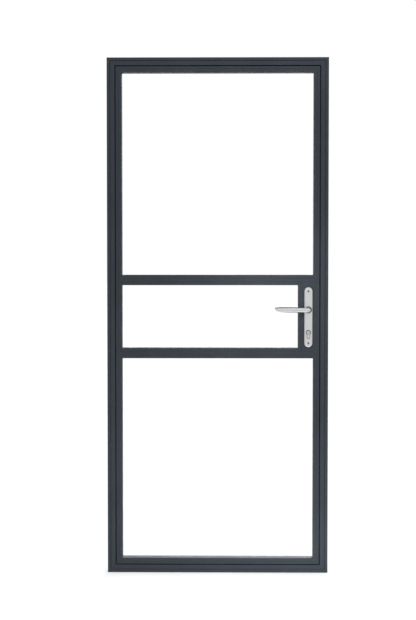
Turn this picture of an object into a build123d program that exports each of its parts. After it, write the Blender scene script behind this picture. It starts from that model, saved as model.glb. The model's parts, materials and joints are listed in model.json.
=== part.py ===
from build123d import *
import os

# A glazed door leaf in its frame, made of hollow mitred bars.
# +Z is up, the viewer looks along +Y, and the origin is the middle of the sill's underside.
# Sections are drawn as (inward from the outer edge, depth from front to back).

# Whole door
door_width = 900
door_height = 2100
door_depth = 50
cut_overrun = 5
quarter_turn = 90

# Frame bars
frame_face = 32
frame_body = 22
frame_wall = 2
nib_depth = 12
nib_back_wall = 4
edge_bevel = 0.8
groove_from_edge = 12
groove_width = 2
groove_depth = 4
groove_wall = 1.6

# Frame seal
seal_gap = 3
seal_slot_from_tip = 4
seal_slot_width = 3
seal_slot_depth = 2.5
seal_head_width = 6
seal_clearance = 0.2

# Leaf bars
shadow_gap = 4
edge_gap = 4
stile_face = 10
leaf_wall = 2
leaf_edge_wall = 4
transom_web = 14
plate_to_lower_transom = 25.5
plate_to_upper_transom = 29.5
lock_box_face = 72

# Glazing
glass_thickness = 8
glass_edge_room = 4
bead_width = 14
bead_depth = 20
bead_wall = 1.6
bead_foot_width = 3
bead_foot_height = 1
bead_foot_from_back = 4
bead_foot_clearance = 0.2
glazing_lip = 3
glazing_base = 2
lip_set_back = 0.5
block_length = 100
block_place_share = 0.5

# Corner cleats
cleat_leg = 60
cleat_clearance = 0.2

# Hinges
hinge_from_end = 250
hinge_length = 100
knuckle_radius = 7
hinge_pin_radius = 4
pin_clearance = 0.05
knuckle_gap = 0.3
hinge_plate_thickness = 3
hinge_plate_from_edge = 4
hinge_leaf_plate_width = 20
hinge_plate_clearance = 0.5

# Wall fixings through the jambs
fixing_hole_radius = 3.25
fixing_access_radius = 6
fixing_from_end = 150
fixing_below_lever = 208

# Lock: places are measured from the leaf's edge and from the floor
backset = 55
lever_height = 1078
lever_to_cylinder = 92
lock_case_depth = 74.5
lock_case_thickness = 13
lock_case_wall = 1.5
lock_case_above_lever = 40
lock_case_below_cylinder = 30
faceplate_width = 16
faceplate_overhang = 36.5
faceplate_thickness = 2.5
lock_fit = 0.3
bolt_thickness = 9.4
bolt_tail_thickness = 4
follower_radius = 8
follower_arm_reach = 19
follower_arm_width = 5
follower_arm_thickness = 6
spindle_side = 8
spindle_clearance = 0.05
spindle_opening = 14

# Latch bolt
latch_throw = 12
latch_height = 20
latch_length = 34
latch_nose_share = 0.35
latch_riser_width = 6
latch_hook_width = 4
latch_hook_drop = 14
latch_hook_clearance = 0.6
latch_tail_clearance = 3

# Dead bolt
dead_bolt_throw = 20
dead_bolt_above_cylinder = 36
dead_bolt_height = 24
dead_bolt_guide = 24
dead_tail_length = 22
dead_tail_height = 14.5
dead_tail_drop = 6.5
talon_width = 6
talon_depth = 6

# Profile cylinder
cylinder_head_radius = 8.5
cylinder_stem_width = 10
cylinder_drop = 24.5
cylinder_proud = 2
cam_gap = 10
cam_reach = 15
cam_lug_width = 7
cam_core_radius = 5
cam_clearance = 0.5
plug_radius = 6.5
plug_clearance = 0.05
keyway_width = 2.2
keyway_height = 9
keyway_depth = 26

# Handle plates
plate_above_lever = 91.5
plate_below_cylinder = 59.5
plate_width = 32
plate_thickness = 9
plate_wall = 2.5
plate_bevel_width = 4
plate_bevel_depth = 2.5
plate_screw_inset = 16
plate_screw_radius = 4
plate_screw_fit = 0.05
plate_screw_room = 0.75

# Lever handles
lever_reach = 130
lever_neck_radius = 10.5
lever_stand = 34
lever_fit = 0.05
lever_corner_share = 1.15
spindle_insert = 22
# Front and top outlines that trim the round bar: place along its reach, then a share of its radius
lever_front_shares = ((-0.2, 1.2), (0.45, 1.2), (1, 0.62), (1, 0.1), (0.92, -0.62), (0.4, -1.2), (-0.2, -1.2))
lever_top_shares = ((-0.2, 1.2), (0.2, 1.2), (1, 0.5), (1, -0.5), (0.2, -1.2), (-0.2, -1.2))

# Strike plate on the lock jamb
strike_width = 19
strike_overhang = 57
strike_thickness = 2
strike_room = 0.8

# Places that follow from the sizes above
half_width = door_width / 2
front = -door_depth / 2
back = door_depth / 2
nib_back = front + nib_depth
leaf_face_in = frame_face + shadow_gap
leaf_edge_in = frame_body + edge_gap
flange_front = nib_back + seal_gap
floor_in = leaf_face_in + stile_face
sight_in = floor_in + bead_width
lock_floor_in = leaf_face_in + lock_box_face
lock_sight_in = lock_floor_in + bead_width
bead_back = front + bead_depth
glass_front = bead_back + glazing_lip
upstand_front = glass_front + glass_thickness + glazing_lip
web_half = transom_web / 2
flange_half = web_half + bead_width
foot_back = bead_back - bead_foot_from_back
foot_front = foot_back - bead_foot_width
frame_rect = (-half_width, half_width, 0, door_height)
sides = ("left", "right", "bottom", "top")

lock_edge = half_width - leaf_edge_in
lock_axis = lock_edge - backset
cylinder_height = lever_height - lever_to_cylinder
case_front = lock_edge - faceplate_thickness
case_end = case_front - lock_case_depth
case_top = lever_height + lock_case_above_lever
case_bottom = cylinder_height - lock_case_below_cylinder
case_middle = (case_top + case_bottom) / 2
faceplate_length = case_top - case_bottom + 2 * faceplate_overhang
dead_bolt_middle = cylinder_height + dead_bolt_above_cylinder
dead_bolt_length = dead_bolt_throw + dead_bolt_guide
plate_top = lever_height + plate_above_lever
plate_bottom = cylinder_height - plate_below_cylinder
plate_middle = (plate_top + plate_bottom) / 2
plate_length = plate_top - plate_bottom
plate_face = back + plate_thickness
plate_screw_heights = (plate_bottom + plate_screw_inset, plate_top - plate_screw_inset)
lower_transom_height = plate_bottom - plate_to_lower_transom
upper_transom_height = plate_top + plate_to_upper_transom
cylinder_half = plate_face + cylinder_proud
lever_bar_y = -plate_face - lever_stand
hinge_axis_in = frame_body + edge_gap / 2
hinge_axis = back + knuckle_radius
frame_plate_x = hinge_plate_from_edge - half_width
frame_plate_end = hinge_axis_in - knuckle_radius - hinge_plate_clearance - half_width
leaf_plate_x = hinge_axis_in + knuckle_radius + hinge_plate_clearance - half_width
hinge_heights = {"lower": hinge_from_end, "middle": door_height / 2, "upper": door_height - hinge_from_end}
strike_middle = (lever_height + dead_bolt_middle) / 2
strike_length = lever_height - dead_bolt_middle + 2 * strike_overhang
pane_rects = {
    "upper": (floor_in - half_width, half_width - floor_in,
              upper_transom_height + web_half, door_height - floor_in),
    "middle": (floor_in - half_width, half_width - lock_floor_in,
               lower_transom_height + web_half, upper_transom_height - web_half),
    "lower": (floor_in - half_width, half_width - floor_in,
              floor_in, lower_transom_height - web_half),
}


def block(x_range, y_range, z_range):
    """Box between two values on each axis."""
    low, high = zip(x_range, y_range, z_range)
    size = [b - a for a, b in zip(low, high)]
    return Pos(*low) * Box(*size, align=(Align.MIN, Align.MIN, Align.MIN))


def about(middle, width):
    """Range of a width laid evenly about a middle."""
    return (middle - width / 2, middle + width / 2)


def patch(in_range, depth_range):
    """Rectangle in a section, from its inward and depth ranges."""
    (a, b), (c, d) = in_range, depth_range
    return Polygon((a, c), (b, c), (b, d), (a, d), align=None)


def bevel_front(section):
    """Bevel the front corners of a section."""
    return chamfer(section.vertices().group_by(Axis.Y)[0], edge_bevel)


def shrunk(rect, by):
    """Rectangle drawn in by the same amount on every side."""
    left, right, bottom, top = rect
    return (left + by, right - by, bottom + by, top - by)


def slab(rect, y_range):
    """Upright plate that fills a rectangle between two depths."""
    left, right, bottom, top = rect
    return block((left, right), y_range, (bottom, top))


def ring(outer, inner, y_range):
    """Upright rectangular ring between two depths."""
    return slab(outer, y_range) - slab(inner, y_range)


def bar(section, rect, side):
    """Carry a section along one side of a rectangle and mitre both of its ends."""
    left, right, bottom, top = rect
    start, end, inward = {
        "left": (Vector(left, 0, bottom), Vector(left, 0, top), Vector(1, 0, 0)),
        "right": (Vector(right, 0, top), Vector(right, 0, bottom), Vector(-1, 0, 0)),
        "bottom": (Vector(right, 0, bottom), Vector(left, 0, bottom), Vector(0, 0, 1)),
        "top": (Vector(left, 0, top), Vector(right, 0, top), Vector(0, 0, -1)),
    }[side]
    run = (end - start).length
    along = (end - start).normalized()
    over = cut_overrun
    reach = section.bounding_box().max.X + over
    mitres = Polygon((-over, -over), (run + over, -over), (run - reach, reach), (reach, reach), align=None)
    wedge = extrude(Plane(start, x_dir=along, z_dir=(0, 1, 0)) * mitres, door_depth, both=True)
    plane = Plane(start - along * over, x_dir=inward, z_dir=along)
    return extrude(plane * section, run + 2 * over, dir=along) & wedge


def upright(sketch, x, z, y_range):
    """Extrude a sketch drawn in X and Z about a point, between two depths."""
    y_start, y_end = y_range
    plane = Plane((x, y_start, z), x_dir=(1, 0, 0), z_dir=(0, -1, 0))
    return extrude(plane * sketch, y_end - y_start, dir=(0, 1, 0))


def rod(radius, x, z, y_range):
    """Round bar along the depth."""
    return upright(Circle(radius), x, z, y_range)


def frame_section():
    """Hollow bar with a nib for the leaf to close on, a face groove and a slot for the seal."""
    inner_front = front + frame_wall
    groove_end = groove_from_edge + groove_width
    notch = (groove_from_edge - groove_wall, groove_end + groove_wall)
    notch_depth = front + groove_depth + frame_wall
    nib_inner = nib_back - nib_back_wall
    slot_end = frame_face - seal_slot_from_tip
    outline = Polygon((0, front), (frame_face, front), (frame_face, nib_back), (frame_body, nib_back),
                      (frame_body, back), (0, back), align=None)
    chamber = Polygon(
        (frame_wall, inner_front), (frame_face - frame_wall, inner_front),
        (frame_face - frame_wall, nib_inner), (frame_body - frame_wall, nib_inner),
        (frame_body - frame_wall, back - frame_wall), (frame_wall, back - frame_wall), align=None)
    chamber -= patch(notch, (front, notch_depth))
    groove = patch((groove_from_edge, groove_end), (front - cut_overrun, front + groove_depth))
    slot = patch((slot_end - seal_slot_width, slot_end), (nib_back - seal_slot_depth, nib_back + cut_overrun))
    return bevel_front(outline) - chamber - groove - slot


def foot_slot(floor, direction):
    """Slot in a pocket floor that a bead's foot clips into."""
    depth = (bead_foot_height + bead_foot_clearance) * direction
    ends = sorted((floor - depth, floor + depth))
    return patch(ends, (foot_front - bead_foot_clearance, foot_back + bead_foot_clearance))


def leaf_section():
    """Hollow stile or rail: a flange behind the frame's nib, a glazing pocket and a back upstand."""
    wall = leaf_wall
    outline = Polygon(
        (leaf_face_in, front), (floor_in, front), (floor_in, upstand_front), (sight_in, upstand_front),
        (sight_in, back), (leaf_edge_in, back), (leaf_edge_in, flange_front), (leaf_face_in, flange_front),
        align=None)
    inner_edge = leaf_edge_in + leaf_edge_wall
    chamber = Polygon(
        (leaf_face_in + wall, front + wall), (floor_in - wall, front + wall),
        (floor_in - wall, upstand_front + wall), (sight_in - wall, upstand_front + wall),
        (sight_in - wall, back - wall), (inner_edge, back - wall), (inner_edge, flange_front + wall),
        (leaf_face_in + wall, flange_front + wall), align=None)
    return bevel_front(outline) - chamber - foot_slot(floor_in, 1)


def transom_section():
    """Hollow T bar with a glazing pocket above and below its web."""
    wall = leaf_wall
    outline = patch((-web_half, web_half), (front, back))
    outline += patch((-flange_half, flange_half), (upstand_front, back))
    chamber = patch((wall - web_half, web_half - wall), (front + wall, back - wall))
    chamber += patch((wall - flange_half, flange_half - wall), (upstand_front + wall, back - wall))
    return bevel_front(outline) - chamber - foot_slot(web_half, 1) - foot_slot(-web_half, -1)


def lock_box_section():
    """Hollow box from the lock stile's pocket to the middle pane, stepped round the stile's upstand."""
    wall = leaf_wall
    outline = patch((floor_in, lock_floor_in), (front, back))
    outline += patch((floor_in, lock_sight_in), (upstand_front, back))
    outline -= patch((floor_in, sight_in), (upstand_front, back))
    chamber = patch((floor_in + wall, lock_floor_in - wall), (front + wall, back - wall))
    chamber += patch((floor_in + wall, lock_sight_in - wall), (upstand_front + wall, back - wall))
    chamber -= patch((floor_in, sight_in + wall), (upstand_front - wall, back))
    return bevel_front(outline) - chamber - foot_slot(lock_floor_in, 1)


def bead_section():
    """Hollow glazing bead with a foot that clips into the pocket floor."""
    outline = bevel_front(patch((0, bead_width), (front, bead_back)))
    foot = patch((-bead_foot_height, bead_wall), (foot_front, foot_back))
    chamber = patch((bead_wall, bead_width - bead_wall), (front + bead_wall, bead_back - bead_wall))
    return outline + foot - chamber


def fixing_holes(edge_x, inward):
    """Screw holes through a jamb to the wall, with a wider access hole on the inner side."""
    access_start = edge_x + inward * frame_body / 2
    cuts = []
    for height in (fixing_from_end, lever_height - fixing_below_lever, door_height - fixing_from_end):
        outer = Plane((edge_x - inward * cut_overrun, 0, height), z_dir=(inward, 0, 0))
        access = Plane((access_start, 0, height), z_dir=(inward, 0, 0))
        cuts.append(extrude(outer * Circle(fixing_hole_radius), frame_body / 2))
        cuts.append(extrude(access * Circle(fixing_access_radius), frame_body))
    return cuts


def frame_hinge_jamb():
    return bar(frame_section(), frame_rect, "left") - fixing_holes(-half_width, 1)


def bolt_opening(middle, height, room):
    """Opening through the strike and the jamb's inner wall that takes one bolt."""
    wall_end = half_width - frame_body / 2
    return block((lock_edge, wall_end), about(0, bolt_thickness + 2 * room), about(middle, height + 2 * room))


def bolt_openings(room):
    return [bolt_opening(lever_height, latch_height, room),
            bolt_opening(dead_bolt_middle, dead_bolt_height, room)]


def frame_lock_jamb():
    jamb = bar(frame_section(), frame_rect, "right") - fixing_holes(half_width, -1)
    return jamb - bolt_openings(2 * strike_room)


def strike_plate():
    x = half_width - frame_body
    face = Plane((x, 0, strike_middle), x_dir=(0, 0, 1), z_dir=(-1, 0, 0))
    plate = extrude(face * SlotOverall(strike_length, strike_width), strike_thickness)
    return plate - bolt_openings(strike_room)


def frame_seal():
    """Rubber ring: a foot in the nib's slot and a head that the leaf's flange closes on."""
    slot_end = frame_face - seal_slot_from_tip
    middle = slot_end - seal_slot_width / 2
    foot_half = seal_slot_width / 2 - seal_clearance
    head_half = seal_head_width / 2
    foot_depth = (nib_back - seal_slot_depth + seal_clearance, nib_back)
    head_depth = (nib_back, flange_front - seal_clearance)
    seal = ring(shrunk(frame_rect, middle - foot_half), shrunk(frame_rect, middle + foot_half), foot_depth)
    seal += ring(shrunk(frame_rect, middle - head_half), shrunk(frame_rect, middle + head_half), head_depth)
    return seal


def corner_cleats(near, far, y_range):
    """Four L-shaped cleats that key the mitres, inside the hollow bars."""
    near, far = near + cleat_clearance, far - cleat_clearance
    leg = near + cleat_leg
    cleats = []
    for across in (-1, 1):
        for corner_z, up in ((0, 1), (door_height, -1)):
            points = ((near, near), (leg, near), (leg, far), (far, far), (far, leg), (near, leg))
            placed = [(across * (half_width - a), corner_z + up * b) for a, b in points]
            cleats.append(upright(Polygon(*placed, align=None), 0, 0, y_range))
    return Compound(cleats)


def frame_corner_cleats():
    depth = (nib_back, back - frame_wall - cleat_clearance)
    return corner_cleats(frame_wall, frame_body - frame_wall, depth)


def leaf_corner_cleats():
    depth = (flange_front + leaf_wall + cleat_clearance, back - leaf_wall - cleat_clearance)
    return corner_cleats(leaf_edge_in + leaf_edge_wall, floor_in - leaf_wall, depth)


def hinge_half(height, plate_range, knuckle_range):
    """Plate the length of the hinge, with one knuckle bored for the pin."""
    x = hinge_axis_in - half_width
    depth = (back, back + hinge_plate_thickness)
    tab_range = sorted((x, min(plate_range, key=lambda end: abs(end - x))))
    low, high = knuckle_range
    half = block(plate_range, depth, about(height, hinge_length))
    half += block(tab_range, depth, (height + low, height + high))
    half += Pos(x, hinge_axis, height + low) * extrude(Circle(knuckle_radius), high - low)
    bore = extrude(Circle(hinge_pin_radius + pin_clearance), hinge_length, both=True)
    return half - Pos(x, hinge_axis, height) * bore


def hinge_frame_half(height):
    return hinge_half(height, (frame_plate_x, frame_plate_end), (-hinge_length / 2, -knuckle_gap / 2))


def hinge_leaf_half(height):
    plate = (leaf_plate_x, leaf_plate_x + hinge_leaf_plate_width)
    return hinge_half(height, plate, (knuckle_gap / 2, hinge_length / 2))


def hinge_pins():
    """Plain pins that stay in the frame's knuckles when the leaf is lifted off."""
    pin = extrude(Circle(hinge_pin_radius), hinge_length)
    base = -hinge_length / 2
    return Compound([Pos(hinge_axis_in - half_width, hinge_axis, height + base) * pin
                     for height in hinge_heights.values()])


def case_mortice():
    """Way in for the lock case, through the stile and the wall of the lock box."""
    x_range = (lock_edge + cut_overrun, case_end)
    y_range = about(0, lock_case_thickness + 2 * lock_fit)
    return block(sorted(x_range), y_range, (case_bottom - lock_fit, case_top + lock_fit))


def faceplate_outline(room=0):
    return SlotOverall(faceplate_length + 2 * room, faceplate_width + 2 * room)


def faceplate_plane():
    return Plane((lock_edge, 0, case_middle), x_dir=(0, 0, 1), z_dir=(-1, 0, 0))


def leaf_lock_stile():
    recess = extrude(faceplate_plane() * faceplate_outline(lock_fit), faceplate_thickness)
    return bar(leaf_section(), frame_rect, "right") - recess - case_mortice()


def transom(height):
    """T bar between the stiles, its flange cut back to meet their upstands."""
    reach = half_width - floor_in
    flange_reach = half_width - sight_in
    plane = Plane((reach, 0, height), x_dir=(0, 0, 1), z_dir=(-1, 0, 0))
    length = extrude(plane * transom_section(), 2 * reach)
    depth = (upstand_front, back + cut_overrun)
    tall = about(height, 2 * flange_half + 2 * cut_overrun)
    ends = [block((flange_reach, reach + cut_overrun), depth, tall),
            block((-reach - cut_overrun, -flange_reach), depth, tall)]
    return length - ends


def euro_profile(room=0):
    """Round head with a stem below it, as on a profile cylinder."""
    stem_radius = cylinder_stem_width / 2 + room
    stem_end = cylinder_drop - cylinder_stem_width / 2
    stem = patch((-stem_radius, stem_radius), (-stem_end, 0))
    return Circle(cylinder_head_radius + room) + stem + Pos(0, -stem_end) * Circle(stem_radius)


def cylinder_opening(y_range):
    """Plain opening that clears the profile cylinder."""
    wide = about(lock_axis, 2 * (cylinder_head_radius + lock_fit))
    tall = (cylinder_height - cylinder_drop - lock_fit, cylinder_height + cylinder_head_radius + lock_fit)
    return block(wide, y_range, tall)


def lock_box():
    """Housing of the lock, open to the stile for the case and cut out behind the handle plates."""
    low, high = lower_transom_height + web_half, upper_transom_height - web_half
    plane = Plane((half_width, 0, high), x_dir=(-1, 0, 0), z_dir=(0, 0, -1))
    box = extrude(plane * lock_box_section(), high - low)
    through = (front - cut_overrun, back + cut_overrun)
    wide = (half_width - lock_sight_in - cut_overrun, half_width - floor_in + cut_overrun)
    depth = (upstand_front, back + cut_overrun)
    ends = [block(wide, depth, (low - cut_overrun, low + bead_width)),
            block(wide, depth, (high - bead_width, high + cut_overrun))]
    screw_opening = 2 * (plate_screw_radius + plate_screw_room)
    holes = [block(about(lock_axis, side), through, about(height, side))
             for side, height in ((spindle_opening, lever_height), (screw_opening, plate_screw_heights[0]),
                                  (screw_opening, plate_screw_heights[1]))]
    return box - ends - case_mortice() - holes - cylinder_opening(through)


def bead(pane, side):
    return bar(bead_section(), pane_rects[pane], side)


def glass(pane):
    return slab(shrunk(pane_rects[pane], glass_edge_room), (glass_front, glass_front + glass_thickness))


def glazing_seal(pane):
    """Channel-shaped rubber ring pressed on to the edge of a pane."""
    outer = shrunk(pane_rects[pane], glass_edge_room - glazing_base)
    inner = shrunk(pane_rects[pane], bead_width - lip_set_back)
    return ring(outer, inner, (bead_back, upstand_front)) - glass(pane)


def setting_blocks():
    """Packers that carry each pane on the bar below it."""
    blocks = []
    for left, right, bottom, top in pane_rects.values():
        place = (right - left) / 2 * block_place_share
        for x in about((left + right) / 2, 2 * place):
            rise = (bottom, bottom + glass_edge_room - glazing_base)
            blocks.append(block(about(x, block_length), (bead_back, upstand_front), rise))
    return Compound(blocks)


def lock_case():
    """Sheet metal case, open behind the faceplate."""
    y_range = about(0, lock_case_thickness)
    inner_y = about(0, lock_case_thickness - 2 * lock_case_wall)
    case = block((case_end, case_front), y_range, (case_bottom, case_top))
    case -= block((case_end + lock_case_wall, case_front + cut_overrun), inner_y,
                  (case_bottom + lock_case_wall, case_top - lock_case_wall))
    through = about(0, lock_case_thickness + 2 * cut_overrun)
    case -= rod(follower_radius + spindle_clearance, lock_axis, lever_height, through)
    return case - cylinder_opening(through)


def lock_faceplate():
    plate = extrude(faceplate_plane() * faceplate_outline(), faceplate_thickness)
    openings = [
        block((case_front - cut_overrun, lock_edge + cut_overrun), about(0, bolt_thickness + 2 * lock_fit),
              about(middle, height + 2 * lock_fit))
        for middle, height in ((lever_height, latch_height), (dead_bolt_middle, dead_bolt_height))]
    return plate - openings


def latch_bolt():
    """Bevelled bolt with a hooked tail that the follower's arm draws back."""
    tip = lock_edge + latch_throw
    end = lock_edge - latch_length
    half = bolt_thickness / 2
    nose = half - bolt_thickness * latch_nose_share
    outline = Polygon((end, -half), (lock_edge, -half), (tip, nose), (tip, half), (end, half), align=None)
    bolt = Pos(0, 0, lever_height - latch_height / 2) * extrude(outline, latch_height)
    tail_y = about(0, bolt_tail_thickness)
    arm_face = lock_axis - follower_arm_width / 2
    hook = arm_face - latch_hook_clearance
    hook_end = hook - latch_hook_width
    tail_low = lever_height + follower_arm_reach + latch_tail_clearance
    tail_top = tail_low + bolt_tail_thickness
    bolt += block((end, end + latch_riser_width), tail_y, (lever_height, tail_top))
    bolt += block((hook_end, end + latch_riser_width), tail_y, (tail_low, tail_top))
    return bolt + block((hook_end, hook), tail_y, (tail_top - latch_hook_drop, tail_top))


def dead_bolt():
    """Square bolt with a notched tail over the cylinder's cam."""
    end = lock_edge - dead_bolt_length
    base = dead_bolt_middle - dead_bolt_height / 2
    bolt = block((end, lock_edge), about(0, bolt_thickness), about(dead_bolt_middle, dead_bolt_height))
    tail_low = base - dead_tail_drop
    tail = block((end - dead_tail_length, end), about(0, bolt_tail_thickness),
                 (tail_low, tail_low + dead_tail_height))
    talon = block(about(lock_axis, talon_width), about(0, bolt_thickness),
                  (tail_low - cut_overrun, tail_low + talon_depth))
    return bolt + tail - talon


def follower():
    """Hub on the spindle with an arm that draws the latch."""
    hub = rod(follower_radius, lock_axis, lever_height, about(0, lock_case_thickness))
    arm = block(about(lock_axis, follower_arm_width), about(0, follower_arm_thickness),
                (lever_height, lever_height + follower_arm_reach))
    hole = Rectangle(spindle_side + 2 * spindle_clearance, spindle_side + 2 * spindle_clearance)
    return hub + arm - upright(hole, lock_axis, lever_height, about(0, lock_case_thickness + 2 * cut_overrun))


def spindle():
    end = back + spindle_insert
    return upright(Rectangle(spindle_side, spindle_side), lock_axis, lever_height, (-end, end))


def cylinder_body():
    """Profile body, bored for the plugs and cut away in the middle for the cam."""
    body = upright(euro_profile(), lock_axis, cylinder_height, (-cylinder_half, cylinder_half))
    body -= rod(plug_radius + plug_clearance, lock_axis, cylinder_height, (-cylinder_half, cylinder_half))
    bridge_top = cylinder_height - cam_reach - cam_clearance
    return body - block(about(lock_axis, 2 * cylinder_head_radius + cut_overrun), about(0, cam_gap),
                        (bridge_top, cylinder_height + 2 * cylinder_head_radius))


def cylinder_plug(outer_y, inner_y):
    """Turning plug with a keyway in its outer end."""
    plug = rod(plug_radius, lock_axis, cylinder_height, sorted((outer_y, inner_y)))
    key_end = outer_y + keyway_depth * (1 if inner_y > outer_y else -1)
    return plug - block(about(lock_axis, keyway_width), sorted((outer_y, key_end)),
                        about(cylinder_height, keyway_height))


def cylinder_cam():
    """Core between the plugs with a lug that hangs down at rest."""
    core = rod(cam_core_radius, lock_axis, cylinder_height, about(0, cam_gap))
    lug = block(about(lock_axis, cam_lug_width), about(0, cam_gap - 2 * cam_clearance),
                (cylinder_height - cam_reach, cylinder_height))
    trim = rod(cam_reach, lock_axis, cylinder_height, about(0, cam_gap))
    return core + (lug & trim)


def handle_screws():
    """Sleeved screws through both plates, flush with the front one."""
    reach = (-plate_face, plate_face - plate_wall)
    return Compound([rod(plate_screw_radius, lock_axis, height, reach) for height in plate_screw_heights])


def handle_plate():
    """Bevelled plate with round ends and two hollows behind, drawn on the front side."""
    outline = Rotation(0, 0, quarter_turn) * SlotOverall(plate_length, plate_width)
    plate = upright(outline, lock_axis, plate_middle, (-plate_face, front))
    face = plate.faces().sort_by(Axis.Y)[0]
    plate = chamfer(face.edges(), plate_bevel_width, plate_bevel_depth, reference=face)
    wide = about(lock_axis, plate_width - 2 * plate_bevel_width)
    hollow = (plate_wall - plate_face, front + cut_overrun)
    hub = lever_neck_radius + lever_fit + plate_wall
    low_start = cylinder_height + cylinder_head_radius + lock_fit + plate_wall
    high_end = plate_screw_heights[1] - plate_screw_radius - plate_wall
    plate -= block(wide, hollow, (low_start, lever_height - hub))
    plate -= block(wide, hollow, (lever_height + hub, high_end))
    through = (-plate_face - cut_overrun, front + cut_overrun)
    plate -= rod(lever_neck_radius + lever_fit, lock_axis, lever_height, through)
    return plate - upright(euro_profile(lock_fit), lock_axis, cylinder_height, through)


def screw_holes(y_range):
    radius = plate_screw_radius + plate_screw_fit
    return [rod(radius, lock_axis, height, y_range) for height in plate_screw_heights]


def front_handle_plate():
    return handle_plate() - screw_holes((-plate_face - cut_overrun, front + cut_overrun))


def back_handle_plate():
    return mirror(handle_plate(), Plane.XZ) - screw_holes((back - cut_overrun, plate_face - plate_wall))


def lever_trim(shares):
    """Outline along the lever's reach, drawn from shares of its reach and radius."""
    return Polygon(*[(-along * lever_reach, side * lever_neck_radius) for along, side in shares], align=None)


def lever_grip(corner):
    """Round bar along the reach, trimmed to its front and top outlines."""
    start = Plane(corner + Vector(lever_neck_radius, 0, 0), z_dir=(-1, 0, 0))
    grip = extrude(start * Circle(lever_neck_radius), lever_reach + lever_neck_radius)
    front_trim = Plane(corner, x_dir=(1, 0, 0), z_dir=(0, -1, 0)) * lever_trim(lever_front_shares)
    top_trim = Plane(corner) * lever_trim(lever_top_shares)
    grip &= extrude(front_trim, 2 * lever_neck_radius, both=True)
    return grip & extrude(top_trim, 2 * lever_neck_radius, both=True)


def front_lever():
    """Neck and grip mitred into an L, with the outer corner bevelled and a square socket."""
    corner = Vector(lock_axis, lever_bar_y, lever_height)
    neck_range = (lever_bar_y - lever_neck_radius, -back - lever_fit)
    neck = rod(lever_neck_radius, lock_axis, lever_height, neck_range)
    mitre = Plane(corner, z_dir=(1, 1, 0))
    lever = split(neck, mitre, keep=Keep.TOP) + split(lever_grip(corner), mitre, keep=Keep.BOTTOM)
    outward = Vector(1, -1, 0).normalized()
    bevel_place = corner + outward * (lever_neck_radius * lever_corner_share)
    lever = split(lever, Plane(bevel_place, z_dir=outward), keep=Keep.BOTTOM)
    side = spindle_side + 2 * spindle_clearance
    socket_end = -back - spindle_insert - spindle_clearance
    return lever - upright(Rectangle(side, side), lock_axis, lever_height, (socket_end, front))


def back_lever():
    return mirror(front_lever(), Plane.XZ)


pieces = {
    "frame_head": bar(frame_section(), frame_rect, "top"),
    "frame_sill": bar(frame_section(), frame_rect, "bottom"),
    "frame_hinge_jamb": frame_hinge_jamb(),
    "frame_lock_jamb": frame_lock_jamb(),
    "frame_corner_cleats": frame_corner_cleats(),
    "frame_seal": frame_seal(),
    "strike_plate": strike_plate(),
    "hinge_pins": hinge_pins(),
    "leaf_hinge_stile": bar(leaf_section(), frame_rect, "left"),
    "leaf_lock_stile": leaf_lock_stile(),
    "leaf_top_rail": bar(leaf_section(), frame_rect, "top"),
    "leaf_bottom_rail": bar(leaf_section(), frame_rect, "bottom"),
    "upper_transom": transom(upper_transom_height),
    "lower_transom": transom(lower_transom_height),
    "lock_box": lock_box(),
    "leaf_corner_cleats": leaf_corner_cleats(),
    "setting_blocks": setting_blocks(),
    "lock_case": lock_case(),
    "lock_faceplate": lock_faceplate(),
    "latch_bolt": latch_bolt(),
    "dead_bolt": dead_bolt(),
    "follower": follower(),
    "spindle": spindle(),
    "cylinder_body": cylinder_body(),
    "front_plug": cylinder_plug(-cylinder_half, -cam_gap / 2),
    "back_plug": cylinder_plug(cylinder_half, cam_gap / 2),
    "cylinder_cam": cylinder_cam(),
    "front_handle_plate": front_handle_plate(),
    "back_handle_plate": back_handle_plate(),
    "handle_screws": handle_screws(),
    "front_lever": front_lever(),
    "back_lever": back_lever(),
}
for level, height in hinge_heights.items():
    pieces[f"{level}_hinge_frame_half"] = hinge_frame_half(height)
    pieces[f"{level}_hinge_leaf_half"] = hinge_leaf_half(height)
for pane in pane_rects:
    pieces[f"{pane}_glass"] = glass(pane)
    pieces[f"{pane}_glazing_seal"] = glazing_seal(pane)
    for side in sides:
        pieces[f"{pane}_{side}_bead"] = bead(pane, side)

os.makedirs("parts", exist_ok=True)
for name, piece in pieces.items():
    export_step(piece, f"parts/{name}.step")
print(len(pieces), "nodes")
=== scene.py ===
# %% [markdown]
# A glazed door in its frame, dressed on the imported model.
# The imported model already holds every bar, pane, hinge and lock piece at its real size. This file gives
# those pieces their finishes, and makes the few shapes that need softer or finer surfaces: the bent
# levers, the screws with their recesses, the rubber seal, and small caps and collars.
# All lengths are in metres. +Z is up, and the viewer looks along +Y.

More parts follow.
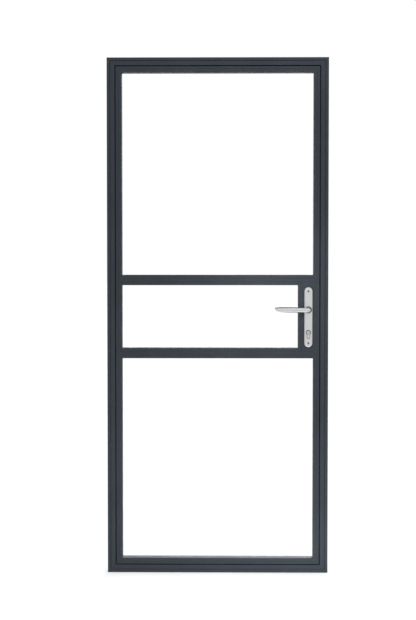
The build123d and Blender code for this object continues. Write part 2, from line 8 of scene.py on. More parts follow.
# %% Load the frame
import json
import math
import bmesh
import bpy
import numpy as np
from mathutils import Matrix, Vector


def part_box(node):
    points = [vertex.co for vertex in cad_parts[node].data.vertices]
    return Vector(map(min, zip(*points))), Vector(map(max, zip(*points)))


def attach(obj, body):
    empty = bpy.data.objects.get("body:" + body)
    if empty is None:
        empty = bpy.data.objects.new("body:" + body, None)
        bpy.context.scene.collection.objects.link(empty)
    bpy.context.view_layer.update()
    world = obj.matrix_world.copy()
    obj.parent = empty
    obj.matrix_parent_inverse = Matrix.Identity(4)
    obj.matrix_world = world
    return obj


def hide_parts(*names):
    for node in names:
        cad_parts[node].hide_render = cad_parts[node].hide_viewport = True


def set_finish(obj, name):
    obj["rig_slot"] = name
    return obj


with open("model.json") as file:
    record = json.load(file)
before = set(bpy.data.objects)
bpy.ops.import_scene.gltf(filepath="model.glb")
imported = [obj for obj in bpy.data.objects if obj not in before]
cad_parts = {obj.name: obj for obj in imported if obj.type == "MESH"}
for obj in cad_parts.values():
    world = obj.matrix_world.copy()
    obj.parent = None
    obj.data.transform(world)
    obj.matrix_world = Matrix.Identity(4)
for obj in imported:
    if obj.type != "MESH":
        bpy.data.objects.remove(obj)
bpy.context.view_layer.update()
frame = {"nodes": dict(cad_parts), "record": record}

MM = 0.001
nodes = frame["nodes"]
levels = ("lower", "middle", "upper")

# %% [markdown]
# New pieces are grids of points, worked out as whole arrays. A grid is a table of rows and columns, and
# each cell of the table becomes one four-sided face. Every grid here goes once round something, such as an
# axis, a path or an opening, so its last column joins the first. The faces could be listed one by one in a
# loop, but their corner numbers follow one rule, so numpy writes them all at once.

# %% Faces of a grid
def full_turn(count):
    """Angles of a whole turn in even steps: 2 * pi * k / count."""
    return np.linspace(0, 2 * math.pi, count, endpoint=False)


def grid_faces(rows, columns):
    """Corner numbers of each cell: this column and the next one, in this row and in the row above."""
    row, column = np.meshgrid(np.arange(rows - 1), np.arange(columns), indexing="ij")
    after = (column + 1) % columns
    here, above = row * columns, (row + 1) * columns
    return np.stack((here + column, here + after, above + after, above + column), -1).reshape(-1, 4)


print("a grid of 3 by 8 points has", len(grid_faces(3, 8)), "faces")

# %% [markdown]
# A finished piece is one mesh made from a few such grids. Points that fall together, as in the middle of a
# dome, are welded into one, so the piece is closed. Its faces are pointed outwards, soft parts are shaded
# smooth, and edges sharper than a given angle stay crisp. The piece then rides on the body that it moves
# with, and names the material slot that it takes its finish from.

# %% Pieces from grids
weld_distance = 0.001 * MM
sliver_width = 0.0001 * MM


def close_seams(mesh):
    """Weld points that fall together, drop faces without area and point the rest outwards."""
    work = bmesh.new()
    work.from_mesh(mesh)
    bmesh.ops.remove_doubles(work, verts=work.verts, dist=weld_distance)
    bmesh.ops.dissolve_degenerate(work, edges=work.edges, dist=sliver_width)
    bmesh.ops.recalc_face_normals(work, faces=work.faces)
    work.to_mesh(mesh)
    work.free()


def make_piece(name, grids, body, slot, sharp_degrees=40):
    """One closed mesh from several grids of points, shaded smooth and riding on a body."""
    points, faces, count = [], [], 0
    for grid in grids:
        rows, columns = grid.shape[:2]
        points.append(grid.reshape(-1, 3))
        faces.append(grid_faces(rows, columns) + count)
        count += rows * columns
    mesh = bpy.data.meshes.new(name)
    mesh.from_pydata(np.concatenate(points).tolist(), [], np.concatenate(faces).tolist())
    close_seams(mesh)
    mesh.polygons.foreach_set("use_smooth", np.ones(len(mesh.polygons), bool))
    mesh.set_sharp_from_angle(angle=math.radians(sharp_degrees))
    piece = bpy.data.objects.new(name, mesh)
    bpy.context.scene.collection.objects.link(piece)
    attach(piece, body)
    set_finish(piece, slot)
    print(name, len(mesh.polygons), "faces on", body)
    return piece


print("points closer than", weld_distance / MM, "mm are welded")

# %% [markdown]
# The lever is a round bar, bent through a quarter turn and pressed to a flatter grip. It could be carved
# from a block or bent with a modifier, but a profile carried along a path says the same thing in one
# formula. First comes the path: straight out along the neck, round the bend, and along the grip. Its ends
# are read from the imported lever, so the new lever keeps the same reach.

# %% Lever path
def halfway(low, high):
    """Half way between two numbers or two corners: (low + high) / 2."""
    return (low + high) / 2


lever_low, lever_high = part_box("front_lever")
spindle_low, spindle_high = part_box("spindle")
lock_x = halfway(spindle_low.x, spindle_high.x)
lever_z = halfway(spindle_low.z, spindle_high.z)
neck_radius = lever_high.x - lock_x
lever_reach = lock_x - lever_low.x
grip_inset = 10.5 * MM
grip_y = lever_low.y + grip_inset
bend_radius = 12.5 * MM


def lever_path(count, crowding=0.9):
    """Share of the grip, centre and direction at each ring: a neck, a quarter circle, a straight grip."""
    neck_run = lever_high.y - grip_y - bend_radius
    bend_run = bend_radius * math.pi / 2
    grip_run = lever_reach - bend_radius
    along = np.linspace(0, 1, count) ** crowding * (neck_run + bend_run + grip_run)
    turn = np.clip((along - neck_run) / bend_run, 0, 1) * math.pi / 2
    neck = np.minimum(along, neck_run)
    grip = np.maximum(along - neck_run - bend_run, 0)
    x = lock_x - bend_radius * (1 - np.cos(turn)) - grip
    y = lever_high.y - neck - bend_radius * np.sin(turn)
    centre = np.stack([x, y, np.full(count, lever_z)], -1)
    direction = np.stack([-np.sin(turn), -np.cos(turn), np.zeros(count)], -1)
    return grip / grip_run, centre, direction


print("lever reach", round(lever_reach / MM, 1), "mm, neck", round(2 * neck_radius / MM, 1), "mm thick")

# %% [markdown]
# An ellipse is carried along that path. Short tables give its two radii and its lift at a few shares of
# the grip. Straight lines between the tables' places would leave creases, so each list is softened over
# its neighbours, and the grip thins and rises evenly to a rounded tip. The back lever is the front one,
# mirrored.

# %% Lever bars
tip_length = 3.2 * MM


def softened(values, reach=12):
    """Mean over the neighbours on both sides, weighted by a bell, which rounds the corners of a table."""
    bell = np.hanning(2 * reach + 1)
    return np.convolve(np.pad(values, reach, "edge"), bell / bell.sum(), "valid")


def lever_grid(rings=220, around=56, tip_rings=7):
    """Ellipse along the lever: centre + up * (lift + height * cos(a)) + side * thickness * sin(a)."""
    share, centre, direction = lever_path(rings)
    places = (0, 0.25, 0.62, 0.86, 0.95, 1.0)
    height = np.interp(share, places, (1, 1.0, 0.97, 0.84, 0.72, 0.46)) * neck_radius
    thickness = np.interp(share, places, (1, 0.95, 0.82, 0.70, 0.58, 0.34)) * neck_radius
    lift = np.interp(share, places, (0, 0, 0.01, 0.07, 0.13, 0.22)) * neck_radius
    height, thickness, lift = (softened(values)[:, None, None] for values in (height, thickness, lift))
    angle = full_turn(around)[None, :, None]
    up = np.array((0, 0, 1.0))
    side = np.cross(direction, up)[:, None, :]
    bar = centre[:, None, :] + up * (lift + height * np.cos(angle)) + side * thickness * np.sin(angle)
    start = np.repeat(bar[:1].mean(1, keepdims=True), around, 1)
    end = bar[-1:].mean(1, keepdims=True)
    quarter = np.linspace(0, math.pi / 2, tip_rings)[1:, None, None]
    tip = end + (bar[-1:] - end) * np.cos(quarter) + np.array((-tip_length, 0, 0)) * np.sin(quarter)
    return np.concatenate([start, bar, tip])


front_lever = make_piece("front_lever_bar", [lever_grid()], "lever_set", "handle")
back_lever = make_piece("back_lever_bar", [lever_grid() * (1, -1, 1)], "lever_set", "handle")
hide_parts("front_lever")
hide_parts("back_lever")

# %% [markdown]
# Rings, lips, screw heads and caps are drawn once, flat on a base of their own: across, up, and height
# above the base. Moving and turning an object for each one would be the usual way in Blender, but here
# every object stays at the origin and its place goes into its points. So one helper carries the points
# of a fitting to a spot on a face, and one puts a fitting on both sides of the leaf.

# %% Fittings on a face
def on_face(local, centre, normal):
    """Points (across, up, height) carried to a face: centre + across * u + up * v + height * normal."""
    normal = np.array(normal, float) / np.linalg.norm(normal)
    aside = np.array((0, 0, 1.0)) if abs(normal[2]) < 0.9 else np.array((1.0, 0, 0))
    u = np.cross(aside, normal)
    u /= np.linalg.norm(u)
    v = np.cross(normal, u)
    return np.array(centre, float) + local[..., :1] * u + local[..., 1:2] * v + local[..., 2:] * normal


def on_both_sides(local, y, z):
    """One fitting before and one behind the leaf, at (lock_x, -y, z) and (lock_x, y, z)."""
    return [on_face(local, (lock_x, side * y, z), (0, side, 0)) for side in (-1, 1)]


plate_face = -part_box("front_handle_plate")[0].y
cylinder_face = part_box("cylinder_body")[1].y
plug_low, plug_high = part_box("front_plug")
plug_z = halfway(plug_low.z, plug_high.z)
print("plates stand", round(plate_face / MM, 1), "mm out, cylinder", round(cylinder_face / MM, 1), "mm")

# %% [markdown]
# A black bush sits on each handle plate round the lever's neck, and a dark bezel sits on each end of the
# lock cylinder round its plug. The bezel is partly a steel ring and partly painted shade: its dark tone
# also stands for the shadow round the cylinder's head. They could be turned solids, but all that shows is a
# ring with a rounded top, so each is a small half round profile turned about an axis.

# %% Bushes and bezels
def ring_grid(inner, outer, height, around=64, steps=9, fullness=0.6):
    """Half round profile turned about an axis: r = middle - half * cos(t), rise as sin(t)^fullness."""
    t = np.linspace(0, math.pi, steps)[:, None]
    turn = full_turn(around)
    radius = (inner + outer) / 2 - (outer - inner) / 2 * np.cos(t)
    rise = height * np.sin(t) ** fullness * np.ones_like(turn)
    rows = np.stack([radius * np.cos(turn), radius * np.sin(turn), rise], -1)
    return np.concatenate([rows, rows[:1]])


bush = ring_grid(inner=neck_radius + 0.1 * MM, outer=neck_radius + 3.6 * MM, height=0.9 * MM)
# The bezel's dark steel is partly painted shade round the cylinder's head.
dark_bezel_shade = ring_grid(inner=6.7 * MM, outer=8.2 * MM, height=0.45 * MM)
neck_bushes = make_piece("neck_bushes", on_both_sides(bush, plate_face, lever_z), "leaf", "seal")
plug_shade_bezels = make_piece("plug_shade_bezels", on_both_sides(dark_bezel_shade, cylinder_face, plug_z), "leaf", "screw_steel")

# %% [markdown]
# The cylinder comes through each plate in a thin black band. The band is painted shade: it stands for the
# dark shadow gap between the cylinder and the plate. Its outline is a round head with a stem below, and the
# band lies between that outline and a wider one. Boolean cuts would do the same with less control, so the
# outline is a distance for each angle about the head: the farther of a circle and a slot.

# %% Cylinder shade bands
head_radius = 8.5 * MM
stem_radius = 5 * MM
stem_drop = 19.5 * MM
least = 1e-6


def cylinder_outline(room, count=96):
    """Distance at each angle: the head's circle, or below it the stem's side and then its round end."""
    turn = full_turn(count)
    head, stem = head_radius + room, stem_radius + room
    down = np.maximum(-np.sin(turn), least)
    aside = np.maximum(np.abs(np.cos(turn)), least)
    stem_side = stem / aside
    stem_end = stem_drop * down + np.sqrt(np.maximum(stem ** 2 - (stem_drop * np.cos(turn)) ** 2, 0))
    slot = np.where(stem_side * down < stem_drop, stem_side, stem_end)
    radius = np.where(np.sin(turn) < 0, np.maximum(head, slot), head)
    return np.stack([radius * np.cos(turn), radius * np.sin(turn)], -1)


def shade_band_grid(inner, outer, height):
    """Band between two outlines: up the inner wall, across, down the outer wall and back underneath."""
    rows = ((inner, 0), (inner, height), (outer, height), (outer + height, 0), (inner, 0))
    height_column = ((0, 0), (0, 1))
    return np.stack([
        np.pad(cylinder_outline(room), height_column, constant_values=rise) for room, rise in rows])


# A black band of painted shade round the cylinder, where the gap to the plate is dark.
shade_band = shade_band_grid(inner=0.05 * MM, outer=1.8 * MM, height=0.4 * MM)
cylinder_shade_bands = make_piece("cylinder_shade_bands", on_both_sides(shade_band, plate_face, plug_z), "leaf", "seal", 30)

# %% [markdown]
# Screws hold the hinges, the strike, the lock's faceplate and the handle plates. Each head is a low dome
# with a cross pressed into it. A head could be cut with booleans, but a polar grid whose height is the
# dome less the cross gives the same shape with no cutting. The cross is given in shares of the head's
# radius: the half width of its arms and their length, and how wide the slopes of its walls and ends are.

# %% Screw heads
arm_half_width, wall_slope = 0.17, 0.06
arm_length, end_slope = 0.62, 0.12


def head_grid(radius, dome, recess, rings=18, around=72):
    """Polar grid: height = dome * sqrt(1 - r^4) less a cross that fades out at its walls and ends."""
    r = np.linspace(0, 1, rings)[:, None]
    turn = full_turn(around)
    x, y = r * np.cos(turn), r * np.sin(turn)
    from_arm = np.minimum(np.abs(x), np.abs(y))
    walls = np.clip((arm_half_width - from_arm) / wall_slope, 0, 1)
    ends = np.clip((arm_length - r) / end_slope, 0, 1)
    height = dome * np.sqrt(np.clip(1 - r ** 4, 0, 1)) - recess * (walls * ends)
    return np.stack([radius * x, radius * y, height], -1)


def with_base(grid, dish=0.0):
    """The grid and one more row, on its axis at the height of the dish, which closes a turned shape."""
    base = np.zeros_like(grid[:1])
    base[..., 2] = dish
    return np.concatenate([grid, base])


def screw_heads(places, radius=4 * MM, dome=1.1 * MM, recess_share=0.9):
    """The same closed head at each place, which is a centre on a face and the way that the face looks."""
    head = with_base(head_grid(radius, dome, recess_share * dome))
    return [on_face(head, centre, normal) for centre, normal in places]


print("each arm of the cross takes up", arm_length, "of the head's radius")

# %% [markdown]
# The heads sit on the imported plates: two on each half of a hinge, two on the strike and three on the
# lock's faceplate, one of which holds the cylinder. Typed numbers would do, but places measured from the
# plates follow them when they move.

# %% Screw places
hinge_plate_face = 28 * MM
hinge_step, strike_step, faceplate_step = 35 * MM, 75 * MM, 108 * MM
cylinder_screw_drop = 20 * MM
plate_shares = {"frame": 0.28, "leaf": 0.72}
places = {"frame": [], "leaf": []}
for level in levels:
    for half, share in plate_shares.items():
        low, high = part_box(f"{level}_hinge_{half}_half")
        x = low.x + (high.x - low.x) * share
        z = halfway(low, high).z
        for step in (-hinge_step, hinge_step):
            places[half].append(((x, hinge_plate_face, z + step), (0, 1, 0)))

low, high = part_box("strike_plate")
z = halfway(low, high).z
places["frame"] += [((low.x, 0, z + step), (-1, 0, 0)) for step in (-strike_step, strike_step)]

low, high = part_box("lock_faceplate")
z = halfway(low, high).z
faceplate_heights = (z - faceplate_step, z + faceplate_step, plug_z - cylinder_screw_drop)
places["leaf"] += [((high.x, 0, height), (1, 0, 0)) for height in faceplate_heights]

frame_heads = make_piece("frame_screw_heads", screw_heads(places["frame"]), "frame", "screw_steel", 30)
leaf_heads = make_piece("leaf_screw_heads", screw_heads(places["leaf"]), "leaf", "screw_steel", 30)

# %% [markdown]
# The two handle screws run through both plates. Their heads sit a little below the face of the front
# plate, so each shows as a dark dot. The solid screws are plain rods, which would show as flat discs, and
# these take their place: the same polar grid as a sunk head, and a rod behind it, turned from three
# points.

# %% Handle screws
screws_low, screws_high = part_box("handle_screws")
screw_radius = (screws_high.x - screws_low.x) / 2
sunk_face = screws_low.y + 2.2 * MM
sunk_dome, sunk_recess = 0.3 * MM, 2.4 * MM


def handle_screw_grids(height):
    """Sunk head, and a rod from it to the back plate: x = lock_x + r * cos(a), z = height + r * sin(a)."""
    head = head_grid(screw_radius, sunk_dome, sunk_recess)
    turn = full_turn(head.shape[1])
    radius = np.array((1, 1, 0))[:, None] * screw_radius
    depth = np.array((sunk_face, screws_high.y, screws_high.y))[:, None] * np.ones_like(turn)
    rod = np.stack([lock_x + radius * np.cos(turn), depth, height + radius * np.sin(turn)], -1)
    return [on_face(head, (lock_x, sunk_face, height), (0, -1, 0)), rod]


lower_screw = handle_screw_grids(screws_low.z + screw_radius)
upper_screw = handle_screw_grids(screws_high.z - screw_radius)
handle_screws = make_piece("handle_screw_pair", lower_screw + upper_screw, "leaf", "screw_steel", 30)
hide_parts("handle_screws")

# %% [markdown]
# The leaf closes on a soft rubber bulb all round the frame. The solid seal is a square ring, and the real
# one is a round-backed tube with mitred corners. A bevelled curve would twist or swell at the mitres, so a
# half round profile is carried round a rectangle instead, with one column of the grid for each corner.

# %% Frame seal
bulb_width = 6 * MM
bulb_foot = 2.3 * MM


def bulb_ring(low, high, steps=20, fullness=0.7):
    """Half round profile round a rectangle: inset = width / 2 * (1 - cos(t)), rise as sin(t)^fullness."""
    t = np.linspace(0, math.pi, steps)
    inset = np.append(bulb_width / 2 * (1 - np.cos(t)), bulb_width / 2)
    rise = np.append((high.y - low.y - bulb_foot) * np.sin(t) ** fullness, 0)
    depth = rise + low.y + bulb_foot
    corner = np.array([(-1, -1), (1, -1), (1, 1), (-1, 1)], float)
    middle = np.array((halfway(low.x, high.x), halfway(low.z, high.z)))
    half = np.array(((high.x - low.x) / 2, (high.z - low.z) / 2))
    flat = middle + corner[None] * (half - inset[:, None, None])
    rows = np.stack([flat[..., 0], np.repeat(depth[:, None], len(corner), 1), flat[..., 1]], -1)
    return np.concatenate([rows, rows[:1]])


frame_seal = make_piece("frame_bulb_seal", [bulb_ring(*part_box("frame_seal"))], "frame", "seal", 60)
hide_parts("frame_seal")

# %% [markdown]
# Each hinge ends in a shallow dome above and below. A sphere cut in half would be too tall for it, so the
# dome is a disc whose height falls off by a power of its radius. Its underside is dished a little, which
# keeps it off the pin. The upper domes turn with the leaf and the lower ones stay with the frame.

# %% Hinge ends
base_dish = 0.2 * MM


def dome_grid(radius, height, power, rings=14, around=56):
    """Turned cap: height * (1 - r^power) over a disc. A high power gives a flat top with a round edge."""
    r = np.sin(np.linspace(0, math.pi / 2, rings))[:, None]
    turn = full_turn(around)
    rise = height * (1 - r ** power) * np.ones_like(turn)
    return with_base(np.stack([radius * r * np.cos(turn), radius * r * np.sin(turn), rise], -1), base_dish)


pins_low, pins_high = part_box("hinge_pins")
pin_x, pin_y = halfway(pins_low.x, pins_high.x), halfway(pins_low.y, pins_high.y)
hinge_dome = dome_grid(radius=7 * MM, height=3 * MM, power=2.4)
leaf_domes, frame_domes = [], []
for level in levels:
    low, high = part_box(f"{level}_hinge_frame_half")
    leaf_domes.append(on_face(hinge_dome, (pin_x, pin_y, high.z), (0, 0, 1)))
    frame_domes.append(on_face(hinge_dome, (pin_x, pin_y, low.z), (0, 0, -1)))
leaf_hinge_ends = make_piece("leaf_hinge_ends", leaf_domes, "leaf", "hinge_paint")
frame_hinge_ends = make_piece("frame_hinge_ends", frame_domes, "frame", "hinge_paint")

# %% [markdown]
# Wall screws go in through holes on the inner sides of the jambs, and a flat cap in the bars' own colour
# closes each hole. A disc with a bevelled edge would do. The dome of the hinges with a high power is the
# same thing: flat on top, with a small round edge.

# %% Hole caps
jamb_inner_face = 428 * MM
fixing_heights = (150 * MM, 870 * MM, 1950 * MM)
hole_cap = dome_grid(radius=7.5 * MM, height=1 * MM, power=8)
caps = [on_face(hole_cap, (side * jamb_inner_face, 0, height), (-side, 0, 0))
        for side in (-1, 1) for height in fixing_heights]
hole_caps = make_piece("fixing_hole_caps", caps, "frame", "bar_paint")

# %% [markdown]
# Finishes are built from a few nodes each. Pictures of paint and steel could be wrapped round the pieces,
# but noise read on Object coordinates needs no unwrapping, and gives every finish its grain at a real
# scale: the fine peel of powder coat, the drawn lines of brushed steel, the bloom of rubber.

# %% Finishes and noise
def new_finish(name):
    """A material with its shader, and the coordinates that its patterns read."""
    material = bpy.data.materials.new(name)
    material.use_nodes = True
    tree = material.node_tree
    shader = tree.nodes["Principled BSDF"]
    place = tree.nodes.new("ShaderNodeTexCoord").outputs["Object"]
    return material, tree, shader, place


def noise(tree, place, scale, detail, stretch=(1, 1, 1)):
    """Noise with a given number of grains per metre, longer along an axis where stretch is below 1."""
    mapping = tree.nodes.new("ShaderNodeMapping")
    mapping.inputs["Scale"].default_value = stretch
    texture = tree.nodes.new("ShaderNodeTexNoise")
    texture.inputs["Scale"].default_value = scale
    texture.inputs["Detail"].default_value = detail
    tree.links.new(place, mapping.inputs["Vector"])
    tree.links.new(mapping.outputs["Vector"], texture.inputs["Vector"])
    return texture.outputs["Fac"]


# %% [markdown]
# On a real surface a grain shows in three ways at once: in its tone, in its gloss and in its relief. Three
# helpers turn noise into these, and one joins them to the shader. Noise rarely reaches 0 or 1, so gloss is
# spread between its limits over the part of the range where most values lie.

# %% Tone, gloss and relief
noise_low, noise_high = 0.3, 0.7


def ramp(tree, value, stops):
    """Colours between places of a value from 0 to 1."""
    node = tree.nodes.new("ShaderNodeValToRGB")
    elements = node.color_ramp.elements
    while len(elements) < len(stops):
        elements.new(0.5)
    for element, (place, colour) in zip(elements, stops):
        element.position = place
        element.color = (*colour, 1)
    tree.links.new(value, node.inputs["Fac"])
    return node.outputs["Color"]


def spread(tree, value, low, high):
    """A noise laid out between two limits: low at noise_low, high at noise_high."""
    node = tree.nodes.new("ShaderNodeMapRange")
    node.inputs["From Min"].default_value = noise_low
    node.inputs["From Max"].default_value = noise_high
    node.inputs["To Min"].default_value = low
    node.inputs["To Max"].default_value = high
    tree.links.new(value, node.inputs["Value"])
    return node.outputs["Result"]


def bump(tree, value, strength, distance):
    """Relief from a value: normals tilted as if the surface rose by the distance, in metres."""
    node = tree.nodes.new("ShaderNodeBump")
    node.inputs["Strength"].default_value = strength
    node.inputs["Distance"].default_value = distance
    tree.links.new(value, node.inputs["Height"])
    return node.outputs["Normal"]


def join(tree, shader, colour, roughness, normal):
    """Tone, gloss and relief joined to the shader's own sockets."""
    tree.links.new(colour, shader.inputs["Base Color"])
    tree.links.new(roughness, shader.inputs["Roughness"])
    tree.links.new(normal, shader.inputs["Normal"])


print("gloss follows noise from", noise_low, "to", noise_high)

# %% [markdown]
# The bars carry a satin anthracite powder coat: a dark blue grey with a fine peel and faint clouding. One
# flat colour would look like card, so three noises of different scale set the clouds, the patches of gloss
# and the peel. The coat mirrors little, which keeps it dark where the white room shines along it.

# %% Powder coat
def powder_coat(name, dark, light, rough):
    """Dark satin coat: clouded colour, slightly uneven gloss and a fine peel."""
    material, tree, shader, place = new_finish(name)
    cloud = noise(tree, place, scale=5, detail=4)
    patches = noise(tree, place, scale=60, detail=3)
    peel = noise(tree, place, scale=900, detail=2)
    colour = ramp(tree, cloud, ((0.35, dark), (0.65, light)))
    join(tree, shader, colour, spread(tree, patches, *rough), bump(tree, peel, 0.05, 0.3 * MM))
    shader.inputs["Specular IOR Level"].default_value = 0.08
    return material


bar_paint = powder_coat(
    "bar_paint", dark=(0.0305, 0.0365, 0.044), light=(0.0345, 0.0415, 0.050), rough=(0.46, 0.52))
hinge_paint = powder_coat(
    "hinge_paint", dark=(0.0295, 0.0355, 0.043), light=(0.0335, 0.0405, 0.049), rough=(0.40, 0.46))
print("coats:", bar_paint.name, hinge_paint.name)

# %% [markdown]
# Steel, nickel and aluminium differ in colour, gloss and the direction of their drawn lines. An
# anisotropic shader would need a direction painted on each piece. Noise stretched along one axis gives
# the same long lines with no painting: along the height on plates, and along the grip on levers.

# %% Metals
def drawn_metal(name, dark, light, rough, stretch, grain=700):
    """Metal with long fine lines: stretched noise sets tone, gloss and relief."""
    material, tree, shader, place = new_finish(name)
    lines = noise(tree, place, grain, 4, stretch)
    colour = ramp(tree, lines, ((0.3, dark), (0.7, light)))
    join(tree, shader, colour, spread(tree, lines, *rough), bump(tree, lines, 0.10, 0.06 * MM))
    shader.inputs["Metallic"].default_value = 1.0
    return material


handle_satin = drawn_metal(
    "handle_satin", dark=(0.50, 0.505, 0.51), light=(0.56, 0.565, 0.57), rough=(0.34, 0.42),
    stretch=(1, 1, 0.03))
lever_polish = drawn_metal(
    "lever_polish", dark=(0.47, 0.475, 0.48), light=(0.53, 0.535, 0.54), rough=(0.14, 0.20),
    stretch=(0.03, 1, 1))
lock_steel = drawn_metal(
    "lock_steel", dark=(0.50, 0.50, 0.50), light=(0.58, 0.58, 0.58), rough=(0.28, 0.42),
    stretch=(1, 1, 0.03))
screw_steel = drawn_metal(
    "screw_steel", dark=(0.13, 0.13, 0.135), light=(0.18, 0.18, 0.185), rough=(0.30, 0.45),
    stretch=(1, 1, 1), grain=1500)
nickel = drawn_metal(
    "nickel", dark=(0.47, 0.47, 0.465), light=(0.54, 0.54, 0.535), rough=(0.22, 0.32),
    stretch=(1, 0.05, 1), grain=1200)
mill_aluminium = drawn_metal(
    "mill_aluminium", dark=(0.60, 0.61, 0.62), light=(0.67, 0.68, 0.69), rough=(0.38, 0.5),
    stretch=(0.05, 1, 0.05))
print("metals:", handle_satin.name, lever_polish.name, lock_steel.name, screw_steel.name, nickel.name,
      mill_aluminium.name)

# %% [markdown]
# The panes are clear toughened glass: nearly no colour, a gloss broken only by a faint haze, and the very
# shallow waves that rollers leave. A see-through mix would be quicker to render, but real glass in the
# shader bends light and mirrors more at a slant, as the panes do.

# %% Glass
def clear_glass(name):
    """Clear pane with a trace of haze and roller waves."""
    material, tree, shader, place = new_finish(name)
    haze = noise(tree, place, scale=9, detail=5)
    waves = noise(tree, place, scale=3, detail=1, stretch=(0.3, 1, 1))
    colour = ramp(tree, haze, ((0.3, (0.985, 0.995, 0.99)), (0.7, (1, 1, 1))))
    join(tree, shader, colour, spread(tree, haze, 0.0, 0.012), bump(tree, waves, 0.02, 0.4 * MM))
    shader.inputs["Transmission Weight"].default_value = 1.0
    shader.inputs["IOR"].default_value = 1.5
    return material


pane_glass = clear_glass("pane_glass")
print("glass:", pane_glass.name)

# %% [markdown]
# Rubber, silicone and moulded plastic are matt, with a fine speckle and no direction. Each could have its
# own recipe, but they differ only in colour, gloss and the size of the speckle, so one function makes all.

# %% Rubber and plastic
def soft_matt(name, dark, light, rough, grain):
    """Matt moulded surface: fine speckle in tone, gloss and relief."""
    material, tree, shader, place = new_finish(name)
    speckle = noise(tree, place, grain, 4)
    colour = ramp(tree, speckle, ((0.35, dark), (0.65, light)))
    join(tree, shader, colour, spread(tree, speckle, *rough), bump(tree, speckle, 0.15, 0.2 * MM))
    return material


seal_rubber = soft_matt(
    "seal_rubber", dark=(0.032, 0.032, 0.033), light=(0.042, 0.042, 0.043), rough=(0.6, 0.8), grain=800)
# The glazing silicone's pale grey is partly its own colour and partly painted light: it lifts the lit
# ledges at the foot of each pane.
glazing_silicone_ledge_light = soft_matt(
    "glazing_silicone_ledge_light", dark=(0.46, 0.46, 0.465), light=(0.52, 0.52, 0.525), rough=(0.35, 0.45), grain=400)
packer_plastic = soft_matt(
    "packer_plastic", dark=(0.03, 0.09, 0.25), light=(0.05, 0.12, 0.30), rough=(0.4, 0.55), grain=300)
print("matt:", seal_rubber.name, glazing_silicone_ledge_light.name, packer_plastic.name)

# %% [markdown]
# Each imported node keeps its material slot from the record. Finishes could be handed out node by node, but
# one table from slot to finish does it for all, and for the new pieces too. Only the levers leave the
# table: they are polished brighter than the satin plates behind them.

# %% Dress the nodes and pieces
finish_of_slot = {
    "bar_paint": bar_paint, "hinge_paint": hinge_paint, "cleat": mill_aluminium, "glass": pane_glass,
    "seal": seal_rubber, "glazing_seal": glazing_silicone_ledge_light, "packer": packer_plastic,
    "lock_steel": lock_steel, "screw_steel": screw_steel, "handle": handle_satin, "cylinder": nickel,
}
for subpart in frame["record"]["subparts"]:
    node = nodes[subpart["node"]]
    node.data.materials.clear()
    node.data.materials.append(finish_of_slot[subpart["material_slot"]])
for piece in (neck_bushes, plug_shade_bezels, cylinder_shade_bands, frame_heads, leaf_heads, handle_screws, frame_seal,
              leaf_hinge_ends, frame_hinge_ends, hole_caps):
    piece.data.materials.append(finish_of_slot[piece["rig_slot"]])
for piece in (front_lever, back_lever):
    piece.data.materials.append(lever_polish)
print(len(finish_of_slot), "finishes on", len(nodes), "nodes")

# %% [markdown]
# Clear glass takes hardly any light away, but a renderer finds the light behind a pane of glass only by
# chance, which leaves grains of noise on the bars. More samples would clear them slowly. A pane's true
# shadow is too faint to see, so the panes simply cast none.

# %% Clear panes
for level in levels:
    nodes[f"{level}_glass"].visible_shadow = False
print(len(levels), "panes cast no shadow")

# %% [markdown]
# The door stands on a plain pale floor that runs far out, so no edge of it shows. The background is white
# to the camera, in reflections and through glass. More light would turn it white too, but would also
# bleach the door, so the floor glows a little for those rays only, and keeps the door's shadow.

# %% Floor
floor_half = 60
floor_glow = 0.41


def seen_rays(tree):
    """1 for rays that show the background: to the camera, in reflections and through glass."""
    path = tree.nodes.new("ShaderNodeLightPath")
    value = path.outputs["Is Camera Ray"]
    for kind in ("Is Glossy Ray", "Is Transmission Ray"):
        either = tree.nodes.new("ShaderNodeMath")
        either.operation = "MAXIMUM"
        tree.links.new(value, either.inputs[0])
        tree.links.new(path.outputs[kind], either.inputs[1])
        value = either.outputs[0]
    return value


floor_mesh = bpy.data.meshes.new("floor")
floor_corners = np.array([(-1, -1, 0), (1, -1, 0), (1, 1, 0), (-1, 1, 0)], float) * floor_half
floor_mesh.from_pydata(floor_corners.tolist(), [], [(0, 1, 2, 3)])
floor = bpy.data.objects.new("floor", floor_mesh)
bpy.context.scene.collection.objects.link(floor)
floor_paint = soft_matt(
    "floor_paint", dark=(0.61, 0.61, 0.61), light=(0.63, 0.63, 0.63), rough=(0.85, 0.95), grain=4)
floor_tree = floor_paint.node_tree
floor_shader = floor_tree.nodes["Principled BSDF"]
floor_shader.inputs["Specular IOR Level"].default_value = 0.0
floor_shader.inputs["Emission Color"].default_value = (1, 1, 1, 1)
glow = floor_tree.nodes.new("ShaderNodeMath")
glow.operation = "MULTIPLY"
glow.inputs[1].default_value = floor_glow
floor_tree.links.new(seen_rays(floor_tree), glow.inputs[0])
floor_tree.links.new(glow.outputs[0], floor_shader.inputs["Emission Strength"])
floor.data.materials.append(floor_paint)
print("floor", 2 * floor_half, "m wide")

# %% [markdown]
# The world is a plain studio. A picture of a room could light the door, but would leave its own windows in
# the metal. Two even backgrounds do instead: a white one that is seen, and a weaker one that gives light.

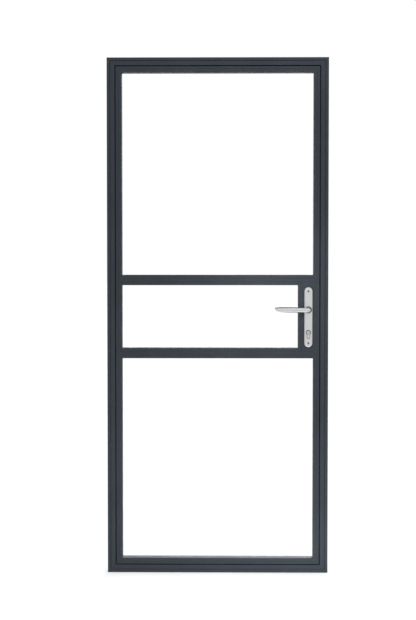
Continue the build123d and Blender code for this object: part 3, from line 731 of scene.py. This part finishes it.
# %% World
ambient_level = 0.56
seen_level = 1.0
world = bpy.data.worlds.new("studio")
bpy.context.scene.world = world
world.use_nodes = True
tree = world.node_tree
tree.nodes.clear()
ambient = tree.nodes.new("ShaderNodeBackground")
seen = tree.nodes.new("ShaderNodeBackground")
for background, strength in ((ambient, ambient_level), (seen, seen_level)):
    background.inputs["Color"].default_value = (1, 1, 1, 1)
    background.inputs["Strength"].default_value = strength
mix = tree.nodes.new("ShaderNodeMixShader")
output = tree.nodes.new("ShaderNodeOutputWorld")
tree.links.new(seen_rays(tree), mix.inputs["Fac"])
tree.links.new(ambient.outputs[0], mix.inputs[1])
tree.links.new(seen.outputs[0], mix.inputs[2])
tree.links.new(mix.outputs[0], output.inputs["Surface"])
print("world gives", ambient_level, "and shows", seen_level)

# %% [markdown]
# Two wide suns stand for a bright sky, one overhead and one behind the door, which shines through the
# panes on the ledges. Four panels lift the front where it would stay too dark: the top bar, the lower
# bars, the lock and the foot. In the metal they would show as hard white shapes, so only the suns are
# mirrored there.

# %% Lamps
def aim(place, target):
    """Matrix of a lamp at a place that looks at a target along its own -Z."""
    place, target = np.array(place, float), np.array(target, float)
    back = (place - target) / np.linalg.norm(place - target)
    right = np.cross((0, 0, 1), back)
    right /= np.linalg.norm(right)
    turned = np.eye(4)
    turned[:3] = np.stack([right, np.cross(back, right), back, place], -1)
    return Matrix(turned.tolist())


def hang(lamp, place, target, mirrored):
    """A lamp put in its place, seen in metal if it is mirrored and never through glass."""
    holder = bpy.data.objects.new(lamp.name, lamp)
    holder.matrix_world = aim(place, target)
    holder.visible_glossy = mirrored
    holder.visible_transmission = False
    bpy.context.scene.collection.objects.link(holder)
    print("lamp", lamp.name, round(lamp.energy, 2))


def add_sun(name, place, strength, degrees):
    """Light from far away towards the origin, out of a patch of sky that is some degrees wide."""
    lamp = bpy.data.lights.new(name, "SUN")
    lamp.energy = strength
    lamp.angle = math.radians(degrees)
    hang(lamp, place, target=(0, 0, 0), mirrored=True)


def add_panel(name, place, target, watts, width, height):
    """Flat lamp near the door, which lights the paint but shows in no metal."""
    lamp = bpy.data.lights.new(name, "AREA")
    lamp.energy = watts
    lamp.shape = "RECTANGLE"
    lamp.size = width
    lamp.size_y = height
    hang(lamp, place, target, mirrored=False)


add_sun("overhead", place=(0.8, -1.6, 4.0), strength=0.8, degrees=140)
add_sun("behind", place=(0.8, 4.0, 1.75), strength=1.9, degrees=28)
add_panel("top_front", (0.32, -0.75, 2.7), target=(0.05, 0, 2.05), watts=7.5, width=1.2, height=0.3)
add_panel("low_front", (-0.7, -1.9, 0.45), target=(-0.1, 0, 0.3), watts=7.5, width=1.6, height=0.5)
add_panel("lock_side", (0.18, -0.42, 1.18), target=(0.36, 0, 1.13), watts=1.45, width=0.25, height=0.25)
add_panel("floor_strip", (0.35, -0.6, 0.06), target=(0.15, 0, 0.06), watts=4.8, width=1.3, height=0.08)

# %% [markdown]
# The camera stands about six metres off, a little above the middle and tipped down by just over two
# degrees. It could be placed by eye, but then every edge would be a little off. So its place, its turn and
# its lens were found by fitting the door's known corners to where the photograph shows them.

# %% Camera
camera_place = (0.03826, -5.89082, 1.30720)
yaw, pitch = 0.0132, -0.0392
focal_pixels, image_long_side = 1442.0, 620
ahead = np.array((-math.sin(yaw) * math.cos(pitch), math.cos(yaw) * math.cos(pitch), math.sin(pitch)))
right = np.array((math.cos(yaw), math.sin(yaw), 0.0))
pose = np.eye(4)
pose[:3] = np.stack([right, np.cross(right, ahead), -ahead, camera_place], -1)
lens = bpy.data.cameras.new("camera")
lens.sensor_width = 36
lens.lens = focal_pixels / image_long_side * lens.sensor_width
camera = bpy.data.objects.new("camera", lens)
camera.matrix_world = Matrix(pose.tolist())
bpy.context.scene.collection.objects.link(camera)
bpy.context.scene.camera = camera
bpy.context.scene.view_settings.view_transform = "Standard"
print("lens", round(lens.lens, 2), "mm")
